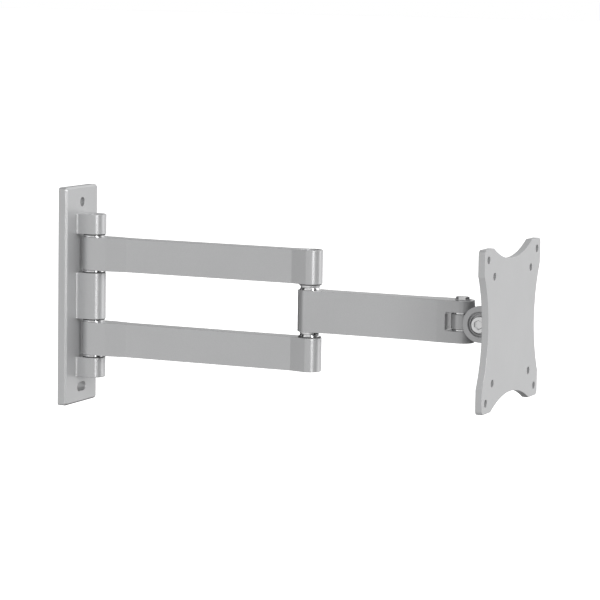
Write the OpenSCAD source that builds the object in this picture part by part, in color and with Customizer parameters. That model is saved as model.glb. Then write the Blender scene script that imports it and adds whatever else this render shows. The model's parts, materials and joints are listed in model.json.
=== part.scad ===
// Full motion wall mount for a small television.
// X runs out from the wall, Y across it and Z up.
// The origin is the middle of the wall plate's back face.
// Rest pose: both links straight out, screen plate parallel to the wall.

/* [Wall plate] */
// Height of the wall plate
plate_h = 165; // [140:1:200]
// Width of the wall plate
plate_w = 49; // [40:1:80]
// Thickness of the wall plate
plate_t = 7; // [5:0.5:7.5]
// Radius of the plate's four corners
plate_corner_r = 2; // [1:0.5:6]
// Bevel round the plate's front face
plate_bevel = 1.4; // [0.5:0.1:2]
// Distance from each screw position to the plate's end
screw_inset = 12; // [9:0.5:14]
// Diameter of the upper screw hole and height of the lower slot
screw_hole_d = 7; // [4:0.1:9]
// Length of the lower, adjusting slot
screw_slot_l = 13; // [10:0.5:20]

/* [Pivot barrels] */
// Radius of the knuckles and of the link barrels
barrel_r = 9; // [8.5:0.05:9.5]
// Gap between the wall plate and a link's barrel
barrel_plate_gap = 1.5; // [0.8:0.05:6]
// Height of the upper and lower wall knuckles
end_knuckle_h = 15; // [13:0.5:20]
// Height of the middle wall knuckle
mid_knuckle_h = 35; // [30:0.1:46]
// Radius of the fillet where a knuckle meets the plate
knuckle_fillet = 2.4; // [1:0.1:3]
// Diameter of the wall and elbow pivot bolts
pivot_d = 8; // [6:0.5:8]
// Outside diameter of the pivot bolts' cap heads
pivot_head_d = 12.8; // [11:0.1:13]
// Height of the pivot bolts' cap heads
pivot_head_h = 6; // [4:0.5:8]
// Depth of a cap head's top below the barrel face
pivot_head_sink = 0.8; // [0.3:0.1:2]
// Depth of each wall bolt in the middle knuckle
pivot_thread_l = 14; // [10:0.5:14]
// Wall thickness of every nylon bush
bush_wall = 1.45; // [0.8:0.05:1.6]
// Width across flats of the elbow nut
elbow_nut_af = 13; // [12:0.5:13.5]
// Height of the elbow nut
elbow_nut_h = 6.5; // [5:0.5:8]

/* [Washers] */
// Thickness of the steel washers at the wall pivot
steel_washer_t = 1.5; // [1:0.1:2.5]
// Thickness of the nylon friction rings
ring_t = 0.7; // [0.5:0.1:1.5]
// How far the washers and rings stay inside the barrel's edge
washer_inset = 0.6; // [0.3:0.1:1.5]

/* [Inner links] */
// Distance between the wall pivot and the elbow
inner_l = 179; // [120:0.5:260]
// Height of each inner link
inner_h = 25; // [20:0.1:34]
// Thickness of an inner link between its barrels
inner_bar_t = 12; // [9:0.5:16]
// Length of the full-width stretch beside the wall barrel
inner_root_l = 14.5; // [8:0.5:24]
// Length of the taper from the full width down to the bar
inner_taper_l = 15.6; // [8:0.1:30]
// Length of the ramp up to the elbow barrel
inner_ramp_l = 12; // [6:0.5:24]

/* [Elbow] */
// Height of each grooved elbow collar
collar_h = 3.7; // [3:0.05:8]
// How far the collar's rims stay inside the barrel's edge
collar_inset = 1.4; // [0.3:0.05:1.5]
// Radius of the collar at the bottom of its groove
collar_neck_r = 6.9; // [5.6:0.1:7]

/* [Outer link] */
// Distance between the elbow and the screen swivel
outer_l = 119; // [90:1:200]
// Thickness of the outer link between its ends
outer_bar_t = 14; // [11:0.5:17]
// Length of the taper beside the elbow barrel
outer_taper_l = 18; // [8:0.5:30]
// Radius of the fork's round end
fork_r = 9.05; // [8.8:0.05:9.3]
// Length of the full-width fork behind the swivel
fork_root_l = 16; // [12:0.5:24]
// Length of the curved flare from the bar to the fork
fork_flare_l = 28; // [12:0.5:40]
// Gap between the tongue's barrel and the end of the fork's slot
tongue_back_gap = 1.8; // [0.5:0.1:3]

/* [Screen swivel] */
// Height of the tongue between the fork's cheeks
tongue_h = 11; // [10:0.1:14]
// Radius of the tongue's barrel
tongue_r = 8; // [7:0.1:8.5]
// Thickness of the steel washers above and below the tongue
swivel_washer_t = 1.2; // [0.8:0.1:1.6]
// Diameter of the swivel bolt
swivel_d = 5; // [4:0.5:6]
// Width across flats of the swivel bolt's head and nut
swivel_af = 8.5; // [7:0.5:8.5]
// Height of the swivel bolt's hexagon head
swivel_head_h = 3.5; // [2.5:0.5:5]
// Height of the swivel nut
swivel_nut_h = 4; // [3:0.5:5]
// Outside diameter of the swivel bolt's washer
swivel_seat_d = 11; // [9:0.5:12]
// Thickness of the swivel bolt's washer
swivel_seat_t = 1; // [0.6:0.1:1.6]
// Depth of the swivel bolt's seat below the top of the fork
swivel_sink = 0.9; // [0:0.1:1.5]

/* [Screen tilt] */
// Gap between the fork's round end and the tilt barrel
barrel_fork_gap = 0.55; // [0.4:0.05:6]
// Radius of the tilt barrel on the swivel block
tilt_barrel_r = 8.4; // [7:0.1:8.5]
// How far the ears' inner faces stand wide of the fork
ear_fork_gap = 0.05; // [0:0.05:3]
// Radius of the plate's round ears
ear_r = 13.1; // [12:0.1:13.3]
// Thickness of the ears
ear_t = 3.8; // [3:0.1:6]
// Diameter of the tilt bolt
tilt_d = 6; // [5:0.5:6]
// Outside diameter of the tilt bolt's cap head
tilt_head_d = 11.8; // [10:0.1:13]
// Height of the tilt bolt's cap head
tilt_head_h = 3.3; // [2.5:0.1:4]
// Outside diameter of the tilt washers
tilt_washer_d = 17; // [14:0.5:18]
// Thickness of the tilt washers
tilt_washer_t = 1.4; // [1:0.1:2]
// Depth of the ears' recesses for those washers
tilt_recess = 1.8; // [1:0.1:2]
// Radial gap round the tilt washers in those recesses
tilt_recess_gap = 0.9; // [0.2:0.1:1]
// Width across flats of the tilt nut
tilt_nut_af = 10; // [9:0.5:11]
// Height of the tilt nut
tilt_nut_h = 5; // [4:0.5:6]

/* [Screen plate] */
// Side of the square screen plate
screen_w = 115; // [112:1:140]
// Thickness of the screen plate
screen_t = 5; // [3:0.5:8]
// Distance from the tilt axis to the screen plate's back face
screen_gap = 14.5; // [12:0.5:24]
// Length of the straight edge beside each corner
screen_tab_l = 18; // [15:0.5:24]
// Depth of the hollow curve in each side
screen_hollow = 9.8; // [4:0.1:12]
// Radius of the plate's corners
screen_corner_r = 3.5; // [1:0.5:6]
// Spacing of the outer screw holes
vesa_outer = 100; // [100]
// Spacing of the inner screw holes
vesa_inner = 75; // [75]
// Diameter of the screw holes
vesa_hole_d = 5.4; // [4.5:0.1:5.5]

/* [Clearances] */
// Radial running clearance round a bolt in its bush
run_gap = 0.05; // [0.03:0.01:0.1]
// Radial clearance round a bolt in a clamped piece
bolt_gap = 0.15; // [0.1:0.05:0.3]
// Radial clearance round a bush, and of a bolt in its thread
press_gap = 0.02; // [0.01:0.01:0.03]
// Radial clearance round a bolt head, nut or washer in its recess
head_gap = 0.4; // [0.2:0.05:0.5]

/* [Hidden] */
$fn = 64;
cut = 1;
socket_share = 0.47;
socket_depth = 0.6;
hex_ratio = 1 / cos(30);
arc_steps = 8;
flank_step = 0.02;
flank_y = barrel_r - flank_step;
fork_y = fork_r - flank_step;

pivot_r = pivot_d / 2;
swivel_r = swivel_d / 2;
tilt_r = tilt_d / 2;
pivot_bush_r = pivot_r + run_gap + bush_wall;
swivel_bush_r = swivel_r + run_gap + bush_wall;
tilt_bush_r = tilt_r + run_gap + bush_wall;
wall_axis_x = plate_t + barrel_plate_gap + barrel_r;
wall_gap = steel_washer_t + ring_t;
inner_z = mid_knuckle_h / 2 + wall_gap;
inner_top = inner_z + inner_h;
end_knuckle_z = inner_top + wall_gap;
end_knuckle_top = end_knuckle_z + end_knuckle_h;
outer_top = inner_z - ring_t - collar_h;
outer_h = 2 * outer_top;
head_recess = pivot_head_h + pivot_head_sink;
head_recess_r = pivot_head_d / 2 + head_gap;
wall_seat_z = end_knuckle_top - head_recess;
elbow_seat_z = inner_top - head_recess;
elbow_x = wall_axis_x + inner_l;
swivel_x = elbow_x + outer_l;
tilt_x = fork_r + barrel_fork_gap + tilt_barrel_r;
tilt_axis_x = swivel_x + tilt_x;
screen_x = tilt_axis_x + screen_gap;
washer_r = barrel_r - washer_inset;
fork_gap_z = tongue_h / 2 + swivel_washer_t;
ear_in = fork_r + ear_fork_gap;
tilt_barrel_l = 2 * (ear_in - ring_t);
ear_out = ear_in + ear_t;
tilt_seat = ear_out - tilt_recess;
tilt_head_seat = tilt_seat + tilt_washer_t;
swivel_seat_z = outer_top - swivel_sink;
screw_z = plate_h / 2 - screw_inset;

// Ring or washer lying flat, its lower face at z = 0
module ring(outer_r, hole_r, t) {
    difference() {
        cylinder(r = outer_r, h = t);
        translate([0, 0, -cut]) cylinder(r = hole_r, h = t + 2 * cut);
    }
}

// Hexagon prism from z = 0, by its width across flats
module hexagon(across, t) {
    rotate([0, 0, 30]) cylinder(d = across * hex_ratio, h = t, $fn = 6);
}

// The same shape above and below the middle plane
module above_and_below() {
    children();
    mirror([0, 0, 1]) children();
}

// Socket cap bolt, its head's seat at z = 0 and its shank downwards
module cap_bolt(shank_r, head_r, head_h, shank_l) {
    difference() {
        union() {
            cylinder(r = head_r, h = head_h);
            translate([0, 0, -shank_l]) cylinder(r = shank_r, h = shank_l + cut);
        }
        translate([0, 0, head_h * (1 - socket_depth)])
            hexagon(2 * head_r * socket_share, head_h);
    }
}

// Hexagon nut from z = 0, bored for its bolt
module hex_nut(across, t, bolt_r) {
    difference() {
        hexagon(across, t);
        translate([0, 0, -cut]) cylinder(r = bolt_r + press_gap, h = t + 2 * cut);
    }
}

// Rectangle centred on the origin with its corners cut at 45 degrees
module bevelled(w, h, bevel) {
    polygon([[-w / 2 + bevel, -h / 2], [w / 2 - bevel, -h / 2], [w / 2, -h / 2 + bevel],
             [w / 2, h / 2 - bevel], [w / 2 - bevel, h / 2], [-w / 2 + bevel, h / 2],
             [-w / 2, h / 2 - bevel], [-w / 2, -h / 2 + bevel]]);
}

// Rectangle centred on the origin with round corners
module rounded(w, h, r) {
    square([w - 2 * r, h], center = true);
    square([w, h - 2 * r], center = true);
    for (sx = [-1, 1], sy = [-1, 1])
        translate([sx * (w / 2 - r), sy * (h / 2 - r)]) circle(r = r);
}

// Concave quarter fillet in the corner at the origin, between +x and +y
module inner_fillet(r) {
    polygon(concat([[0, 0]],
                   [for (i = [0 : arc_steps])
                       let (a = 90 * i / arc_steps) [r - r * cos(a), r - r * sin(a)]]));
}

// One wall knuckle: a flat-sided block with a round front
module knuckle(z, h) {
    translate([0, 0, z]) linear_extrude(h) {
        translate([wall_axis_x, 0]) circle(r = barrel_r);
        translate([plate_t - cut, -flank_y]) square([wall_axis_x - plate_t + cut, 2 * flank_y]);
        for (s = [0, 1]) mirror([0, s])
            translate([plate_t, flank_y]) inner_fillet(knuckle_fillet);
    }
}

// Plate with a bevelled front, three knuckles and two screw positions
module wall_plate() {
    color("silver") difference() {
        union() {
            intersection() {
                rotate([90, 0, 90]) linear_extrude(plate_t)
                    rounded(plate_w, plate_h, plate_corner_r);
                translate([0, 0, -plate_h / 2]) linear_extrude(plate_h)
                    bevelled(2 * plate_t, plate_w, plate_bevel);
                translate([0, plate_w / 2, 0]) rotate([90, 0, 0]) linear_extrude(plate_w)
                    bevelled(2 * plate_t, plate_h, plate_bevel);
            }
            above_and_below() knuckle(end_knuckle_z, end_knuckle_h);
            knuckle(-mid_knuckle_h / 2, mid_knuckle_h);
        }
        above_and_below() translate([wall_axis_x, 0, 0]) {
            translate([0, 0, end_knuckle_z - cut])
                cylinder(r = pivot_r + bolt_gap, h = end_knuckle_h + 2 * cut);
            translate([0, 0, wall_seat_z]) cylinder(r = head_recess_r, h = head_recess + cut);
            translate([0, 0, mid_knuckle_h / 2 - pivot_thread_l - cut])
                cylinder(r = pivot_r + press_gap, h = pivot_thread_l + 2 * cut);
        }
        translate([-cut, 0, screw_z]) rotate([0, 90, 0])
            cylinder(d = screw_hole_d, h = plate_t + 2 * cut);
        for (s = [-1, 1])
            translate([-cut, s * (screw_slot_l - screw_hole_d) / 2, -screw_z])
                rotate([0, 90, 0]) cylinder(d = screw_hole_d, h = plate_t + 2 * cut);
        translate([-cut, -(screw_slot_l - screw_hole_d) / 2, -screw_z - screw_hole_d / 2])
            cube([plate_t + 2 * cut, screw_slot_l - screw_hole_d, screw_hole_d]);
    }
}

module wall_pivot_bolts() {
    color("gainsboro") above_and_below() translate([wall_axis_x, 0, wall_seat_z])
        cap_bolt(pivot_r, pivot_head_d / 2, pivot_head_h,
                 wall_seat_z - mid_knuckle_h / 2 + pivot_thread_l);
}

// Nylon rings against the knuckles, one at each end of each inner link
module wall_friction_rings() {
    color("dimgray") above_and_below() translate([wall_axis_x, 0, 0])
        for (z = [mid_knuckle_h / 2, end_knuckle_z - ring_t])
            translate([0, 0, z]) ring(washer_r, pivot_r + bolt_gap, ring_t);
}

// Steel washers between those rings and the inner links
module wall_steel_washers() {
    color("white") above_and_below() translate([wall_axis_x, 0, 0])
        for (z = [inner_z - steel_washer_t, inner_top])
            translate([0, 0, z]) ring(washer_r, pivot_r + bolt_gap, steel_washer_t);
}

module wall_bushes() {
    color("ivory") above_and_below() translate([wall_axis_x, 0, inner_z])
        ring(pivot_bush_r, pivot_r + run_gap, inner_h);
}

// Bar of height h between two round barrels, its plan given by one edge's points
module link_bar(edge, start_r, end_r, l, h) {
    cylinder(r = start_r, h = h);
    translate([l, 0, 0]) cylinder(r = end_r, h = h);
    linear_extrude(h)
        polygon(concat(edge, [for (i = [len(edge) - 1 : -1 : 0]) [edge[i][0], -edge[i][1]]]));
}

// Inner link from its lower face at z = 0, bored for the bush and the elbow bolt
module inner_link() {
    half = inner_bar_t / 2;
    edge = [[0, flank_y], [inner_root_l, flank_y],
            [inner_root_l + inner_taper_l, half],
            [inner_l - inner_ramp_l, half], [inner_l, flank_y]];
    difference() {
        union() link_bar(edge, barrel_r, barrel_r, inner_l, inner_h);
        translate([0, 0, -cut])
            cylinder(r = pivot_bush_r + press_gap, h = inner_h + 2 * cut);
        translate([inner_l, 0, -cut])
            cylinder(r = pivot_r + bolt_gap, h = inner_h + 2 * cut);
    }
}

module upper_link() {
    color("darkgray") difference() {
        translate([wall_axis_x, 0, inner_z]) inner_link();
        translate([elbow_x, 0, elbow_seat_z]) cylinder(r = head_recess_r, h = head_recess + cut);
    }
}

module lower_link() {
    color("darkgray") difference() {
        translate([wall_axis_x, 0, -inner_top]) inner_link();
        translate([elbow_x, 0, -inner_top - cut])
            hexagon(elbow_nut_af + head_gap, head_recess + cut);
    }
}

module elbow_bolt() {
    color("gainsboro") translate([elbow_x, 0, elbow_seat_z])
        cap_bolt(pivot_r, pivot_head_d / 2, pivot_head_h, 2 * elbow_seat_z + elbow_nut_h);
}

module elbow_nut() {
    color("gainsboro") translate([elbow_x, 0, -elbow_seat_z - elbow_nut_h])
        hex_nut(elbow_nut_af, elbow_nut_h, pivot_r);
}

module elbow_friction_rings() {
    color("dimgray") above_and_below() translate([elbow_x, 0, inner_z - ring_t])
        ring(washer_r, pivot_r + bolt_gap, ring_t);
}

// Turned collar with a V groove round it, its lower rim at z = 0
module collar() {
    bore = pivot_r + bolt_gap;
    rim = barrel_r - collar_inset;
    rotate_extrude()
        polygon([[bore, 0], [rim, 0], [collar_neck_r, collar_h / 2], [rim, collar_h],
                 [bore, collar_h]]);
}

module elbow_collar_upper() {
    color("white") translate([elbow_x, 0, outer_top]) collar();
}

module elbow_collar_lower() {
    color("white") translate([elbow_x, 0, -outer_top - collar_h]) collar();
}

module elbow_bush() {
    color("ivory") translate([elbow_x, 0, -outer_top])
        ring(pivot_bush_r, pivot_r + run_gap, outer_h);
}

// Outer link: bushed barrel at the elbow and a slotted fork at the screen.
// The bar flares into the fork along an arc that starts level with the bar.
module fork_link() {
    half = outer_bar_t / 2;
    slot_back = tongue_r + tongue_back_gap;
    flare_x = outer_l - fork_root_l - fork_flare_l;
    rise = fork_y - half;
    flare_r = (pow(fork_flare_l, 2) + pow(rise, 2)) / (2 * rise);
    flare_a = asin(fork_flare_l / flare_r);
    flare = [for (i = [1 : arc_steps])
                let (a = flare_a * i / arc_steps)
                    [flare_x + flare_r * sin(a), half + flare_r * (1 - cos(a))]];
    edge = concat([[0, flank_y], [outer_taper_l, half], [flare_x, half]], flare,
                  [[outer_l, fork_y]]);
    color("darkgray") difference() {
        translate([elbow_x, 0, -outer_top])
            union() link_bar(edge, barrel_r, fork_r, outer_l, outer_h);
        translate([elbow_x, 0, -outer_top - cut])
            cylinder(r = pivot_bush_r + press_gap, h = outer_h + 2 * cut);
        translate([swivel_x - slot_back, -fork_r - cut, -fork_gap_z])
            cube([slot_back + fork_r + cut, 2 * (fork_r + cut), 2 * fork_gap_z]);
        translate([swivel_x, 0, -outer_top - cut])
            cylinder(r = swivel_r + bolt_gap, h = outer_h + 2 * cut);
        translate([swivel_x, 0, swivel_seat_z - swivel_seat_t])
            cylinder(r = swivel_seat_d / 2 + head_gap, h = swivel_sink + swivel_seat_t + cut);
        translate([swivel_x, 0, -outer_top - cut])
            hexagon(swivel_af + head_gap, swivel_nut_h + cut);
    }
}

// Hexagon bolt from the top of the fork down into its nut
module swivel_bolt() {
    color("white") translate([swivel_x, 0, swivel_seat_z]) {
        hexagon(swivel_af, swivel_head_h);
        translate([0, 0, -outer_h + swivel_sink])
            cylinder(r = swivel_r, h = outer_h - swivel_sink + cut);
    }
}

module swivel_nut() {
    color("gainsboro") translate([swivel_x, 0, -outer_top])
        hex_nut(swivel_af, swivel_nut_h, swivel_r);
}

module swivel_seat_washer() {
    color("dimgray") translate([swivel_x, 0, swivel_seat_z - swivel_seat_t])
        ring(swivel_seat_d / 2, swivel_r + bolt_gap, swivel_seat_t);
}

module swivel_washers() {
    color("white") above_and_below() translate([swivel_x, 0, tongue_h / 2])
        ring(tongue_r - washer_inset, swivel_r + bolt_gap, swivel_washer_t);
}

module swivel_bush() {
    color("ivory") translate([swivel_x, 0, -tongue_h / 2])
        ring(swivel_bush_r, swivel_r + run_gap, tongue_h);
}

// Block that swivels on an upright barrel and carries a level one for the tilt
module swivel_block() {
    neck_half = tongue_h / 2;
    color("darkgray") difference() {
        union() {
            translate([swivel_x, 0, -neck_half]) cylinder(r = tongue_r, h = tongue_h);
            translate([swivel_x, -neck_half, -neck_half]) cube([tilt_x, tongue_h, tongue_h]);
            translate([tilt_axis_x, tilt_barrel_l / 2, 0]) rotate([90, 0, 0])
                cylinder(r = tilt_barrel_r, h = tilt_barrel_l);
        }
        translate([swivel_x, 0, -neck_half - cut])
            cylinder(r = swivel_bush_r + press_gap, h = tongue_h + 2 * cut);
        translate([tilt_axis_x, tilt_barrel_l / 2 + cut, 0]) rotate([90, 0, 0])
            cylinder(r = tilt_bush_r + press_gap, h = tilt_barrel_l + 2 * cut);
    }
}

// Places an upright shape along the tilt axis, z = 0 at the middle, +z towards the viewer
module on_tilt_axis() {
    translate([tilt_axis_x, 0, 0]) rotate([90, 0, 0]) children();
}

module tilt_bush() {
    color("ivory") on_tilt_axis() translate([0, 0, -tilt_barrel_l / 2])
        ring(tilt_bush_r, tilt_r + run_gap, tilt_barrel_l);
}

module tilt_friction_rings() {
    color("dimgray") on_tilt_axis() above_and_below() translate([0, 0, tilt_barrel_l / 2])
        ring(tilt_barrel_r - washer_inset, tilt_r + bolt_gap, ring_t);
}

// Square outline with a hollow curve in each side and round corners
module screen_outline() {
    chord_half = screen_w / 2 - screen_tab_l;
    hollow_r = (pow(chord_half, 2) + pow(screen_hollow, 2)) / (2 * screen_hollow);
    difference() {
        rounded(screen_w, screen_w, screen_corner_r);
        for (a = [0 : 90 : 270]) rotate([0, 0, a])
            translate([screen_w / 2 - screen_hollow + hollow_r, 0])
                circle(r = hollow_r, $fn = 256);
    }
}

// Screen plate with its two screw patterns and two round, recessed ears
module screen_plate() {
    color("silver") difference() {
        union() {
            translate([screen_x, 0, 0]) rotate([90, 0, 90]) linear_extrude(screen_t)
                screen_outline();
            on_tilt_axis() above_and_below() translate([0, 0, ear_in]) linear_extrude(ear_t) {
                circle(r = ear_r);
                translate([0, -ear_r]) square([screen_gap + cut, 2 * ear_r]);
            }
        }
        for (spacing = [vesa_outer, vesa_inner], sy = [-1, 1], sz = [-1, 1])
            translate([screen_x - cut, sy * spacing / 2, sz * spacing / 2])
                rotate([0, 90, 0]) cylinder(d = vesa_hole_d, h = screen_t + 2 * cut);
        on_tilt_axis() above_and_below() {
            translate([0, 0, ear_in - cut])
                cylinder(r = tilt_r + bolt_gap, h = ear_t + 2 * cut);
            translate([0, 0, tilt_seat])
                cylinder(r = tilt_washer_d / 2 + tilt_recess_gap, h = tilt_recess + cut);
        }
    }
}

// Low cap bolt along the tilt axis, its head on the near side
module tilt_bolt() {
    head_r = tilt_head_d / 2;
    color("white") on_tilt_axis() difference() {
        union() {
            translate([0, 0, -tilt_head_seat - tilt_nut_h])
                cylinder(r = tilt_r, h = 2 * tilt_head_seat + tilt_nut_h + cut);
            translate([0, 0, tilt_head_seat]) cylinder(r = head_r, h = tilt_head_h);
        }
        translate([0, 0, tilt_head_seat + tilt_head_h * (1 - socket_depth)])
            hexagon(2 * head_r * socket_share, tilt_head_h);
    }
}

module tilt_nut() {
    color("gainsboro") on_tilt_axis() translate([0, 0, -tilt_head_seat - tilt_nut_h])
        hex_nut(tilt_nut_af, tilt_nut_h, tilt_r);
}

module tilt_washers() {
    color("white") on_tilt_axis() above_and_below() translate([0, 0, tilt_seat])
        ring(tilt_washer_d / 2, tilt_r + bolt_gap, tilt_washer_t);
}

wall_plate();
wall_pivot_bolts();
wall_friction_rings();
wall_steel_washers();
wall_bushes();
upper_link();
lower_link();
elbow_bolt();
elbow_nut();
elbow_friction_rings();
elbow_collar_upper();
elbow_collar_lower();
elbow_bush();
fork_link();
swivel_bolt();
swivel_nut();
swivel_seat_washer();
swivel_washers();
swivel_bush();
swivel_block();
tilt_bush();
tilt_friction_rings();
screen_plate();
tilt_bolt();
tilt_nut();
tilt_washers();
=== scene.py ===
"""Full motion television wall mount: the looks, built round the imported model."""

import json
import math

import bmesh
import bpy
from mathutils import Matrix, Vector


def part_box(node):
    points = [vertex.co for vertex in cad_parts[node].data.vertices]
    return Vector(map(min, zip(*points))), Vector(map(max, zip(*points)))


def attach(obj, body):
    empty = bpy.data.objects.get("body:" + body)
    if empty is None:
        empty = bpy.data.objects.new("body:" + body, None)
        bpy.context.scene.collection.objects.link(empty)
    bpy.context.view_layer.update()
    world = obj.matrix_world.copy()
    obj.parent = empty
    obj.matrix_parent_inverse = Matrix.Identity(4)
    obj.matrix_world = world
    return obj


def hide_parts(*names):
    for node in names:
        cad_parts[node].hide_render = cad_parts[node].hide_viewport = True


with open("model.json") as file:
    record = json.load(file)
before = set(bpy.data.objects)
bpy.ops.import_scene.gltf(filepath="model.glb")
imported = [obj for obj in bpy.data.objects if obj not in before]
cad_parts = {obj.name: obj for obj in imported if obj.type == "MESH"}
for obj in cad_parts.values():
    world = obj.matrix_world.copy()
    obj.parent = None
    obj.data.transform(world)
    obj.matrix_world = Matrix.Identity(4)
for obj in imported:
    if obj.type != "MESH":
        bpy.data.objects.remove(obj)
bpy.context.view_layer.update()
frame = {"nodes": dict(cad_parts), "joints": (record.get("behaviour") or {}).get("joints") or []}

MM = 0.001
joint_at = {j["name"]: Vector(j["pos_m"]) / MM for j in frame["joints"]}
wall_x = joint_at["wall_swivel"].x
elbow_x = joint_at["elbow_fold"].x
swivel_x = joint_at["screen_swivel"].x
tilt_x = joint_at["screen_tilt"].x


# ---- Studio ----
# A pale floor well below the mount and a plain surround with a few soft panels. Two tall
# soft boxes on the right give the round barrels their bright stripe. The MIX_ numbers are
# the colour sockets of a mix node.
MIX_SHARE, MIX_FIRST, MIX_SECOND, MIX_RESULT = 0, 6, 7, 2


def surround_ring(nodes, links, angle, levels):
    """Brightness round the mount from (azimuth, level) pairs.

    Azimuth 0 is the near side, and 90 is the screen's side.
    """
    ring = nodes.new("ShaderNodeValToRGB")
    stops = ring.color_ramp.elements
    while len(stops) < len(levels):
        stops.new(0.5)
    for stop, (azimuth, level) in zip(stops, levels):
        stop.position = azimuth / 360 + 0.25
        stop.color = (level, level, level, 1)
    links.new(angle, ring.inputs["Fac"])
    return ring.outputs["Color"]


def studio_world():
    world = bpy.data.worlds.new("studio_surround")
    bpy.context.scene.world = world
    world.use_nodes = True
    nodes, links = world.node_tree.nodes, world.node_tree.links
    nodes.clear()
    out = nodes.new("ShaderNodeOutputWorld")
    direction = nodes.new("ShaderNodeTexCoord")
    around = nodes.new("ShaderNodeTexGradient")
    around.gradient_type = "RADIAL"
    links.new(direction.outputs["Generated"], around.inputs["Vector"])
    level = surround_ring(nodes, links, around.outputs["Fac"], [
        (-90, 0.02), (-60, 0.05), (-40, 0.95), (-20, 0.66), (0, 0.57), (22, 0.65), (34, 0.15), (46, 0.30),
        (58, 0.02), (92, 0.02), (120, 1.90), (150, 0.75), (180, 1.10), (225, 0.02), (270, 0.02)])
    above = surround_ring(nodes, links, around.outputs["Fac"], [
        (-90, 0.05), (0, 0.93), (90, 0.65), (180, 0.80), (270, 0.05)])
    below = surround_ring(nodes, links, around.outputs["Fac"], [
        (-90, 0.55), (0, 0.80), (90, 0.02), (180, 0.02), (270, 0.55)])
    height = nodes.new("ShaderNodeSeparateXYZ")
    links.new(direction.outputs["Generated"], height.inputs["Vector"])
    for ring, start, full in ((above, 0.50, 0.71), (below, -0.26, -0.50)):
        share = nodes.new("ShaderNodeMapRange")
        share.inputs["From Min"].default_value = start
        share.inputs["From Max"].default_value = full
        blend = nodes.new("ShaderNodeMix")
        blend.data_type = "RGBA"
        links.new(height.outputs["Z"], share.inputs["Value"])
        links.new(share.outputs["Result"], blend.inputs[MIX_SHARE])
        links.new(level, blend.inputs[MIX_FIRST])
        links.new(ring, blend.inputs[MIX_SECOND])
        level = blend.outputs[MIX_RESULT]
    backdrop = nodes.new("ShaderNodeBackground")
    backdrop.inputs["Color"].default_value = (1, 1, 1, 1)
    lighting = nodes.new("ShaderNodeBackground")
    ray = nodes.new("ShaderNodeLightPath")
    choose = nodes.new("ShaderNodeMixShader")
    links.new(level, lighting.inputs["Color"])
    links.new(ray.outputs["Is Camera Ray"], choose.inputs["Fac"])
    links.new(lighting.outputs["Background"], choose.inputs[1])
    links.new(backdrop.outputs["Background"], choose.inputs[2])
    links.new(choose.outputs["Shader"], out.inputs["Surface"])


def soft_box(name, azimuth, elevation, half_width, half_height, brightness):
    """Lamp far from the mount, its place and half sizes given as angles in degrees."""
    distance = 8
    azimuth, elevation = math.radians(azimuth), math.radians(elevation)
    away = Vector((math.sin(azimuth) * math.cos(elevation), -math.cos(azimuth) * math.cos(elevation),
                   math.sin(elevation)))
    lamp = bpy.data.lights.new(name, "AREA")
    lamp.shape = "RECTANGLE"
    lamp.size = 2 * distance * math.tan(math.radians(half_width))
    lamp.size_y = 2 * distance * math.tan(math.radians(half_height))
    lamp.energy = brightness * math.pi * lamp.size * lamp.size_y
    box = bpy.data.objects.new(name, lamp)
    box.location = Vector((elbow_x * MM, 0, 0)) + distance * away
    box.rotation_euler = (-away).to_track_quat("-Z", "Y").to_euler()
    bpy.context.scene.collection.objects.link(box)


studio_world()
soft_box("key_box", 57, 20, 5.5, 20, 11.0)
soft_box("side_box", 46, 0, 5.5, 20, 3.4)

floor_mesh = bpy.data.meshes.new("floor")
floor_half = 60
floor_z = -0.75
floor_mesh.from_pydata([(x * floor_half, y * floor_half, floor_z)
                        for x, y in ((-1, -1), (1, -1), (1, 1), (-1, 1))], [], [(0, 1, 2, 3)])
floor = bpy.data.objects.new("floor", floor_mesh)
bpy.context.scene.collection.objects.link(floor)
floor_paint = bpy.data.materials.new("pale_floor")
floor_paint.use_nodes = True
floor_shader = floor_paint.node_tree.nodes["Principled BSDF"]
floor_shader.inputs["Base Color"].default_value = (0.9, 0.9, 0.9, 1)
floor_shader.inputs["Roughness"].default_value = 0.9
floor_shader.inputs["Emission Color"].default_value = (1, 1, 1, 1)
floor_shader.inputs["Emission Strength"].default_value = 0.9
floor.data.materials.append(floor_paint)
floor.visible_glossy = False
floor.visible_diffuse = False

camera_data = bpy.data.cameras.new("camera")
camera_data.lens = 164.76
camera_data.sensor_width = 36
camera = bpy.data.objects.new("camera", camera_data)
yaw, pitch, roll = math.radians(24.105), math.radians(6.744), math.radians(0.922)
forward = Vector((-math.sin(yaw) * math.cos(pitch), math.cos(yaw) * math.cos(pitch), -math.sin(pitch)))
level_right = Vector((math.cos(yaw), math.sin(yaw), 0))
level_up = level_right.cross(forward)
right = level_right * math.cos(roll) + level_up * math.sin(roll)
up = level_up * math.cos(roll) - level_right * math.sin(roll)
camera_place = Matrix.Translation((1.0038, -1.8224, 0.2432))
camera.matrix_world = camera_place @ Matrix((right, up, -forward)).transposed().to_4x4()
bpy.context.scene.collection.objects.link(camera)
bpy.context.scene.camera = camera
bpy.context.scene.view_settings.view_transform = "Standard"


# ---- Wall plate ----
# One die casting in aluminium: an upright plate with three knuckles for the wall pivot,
# bored and recessed for the two cap bolts, sprayed with satin silver paint.
def arc(centre, radius, start, stop, steps):
    """Points of an arc, its angles in degrees."""
    spread = [math.radians(start + (stop - start) * i / steps) for i in range(steps + 1)]
    return [(centre[0] + radius * math.cos(a), centre[1] + radius * math.sin(a)) for a in spread]


def new_object(name, bm):
    bmesh.ops.recalc_face_normals(bm, faces=bm.faces)
    mesh = bpy.data.meshes.new(name)
    bm.to_mesh(mesh)
    bm.free()
    piece = bpy.data.objects.new(name, mesh)
    bpy.context.scene.collection.objects.link(piece)
    return piece


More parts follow.
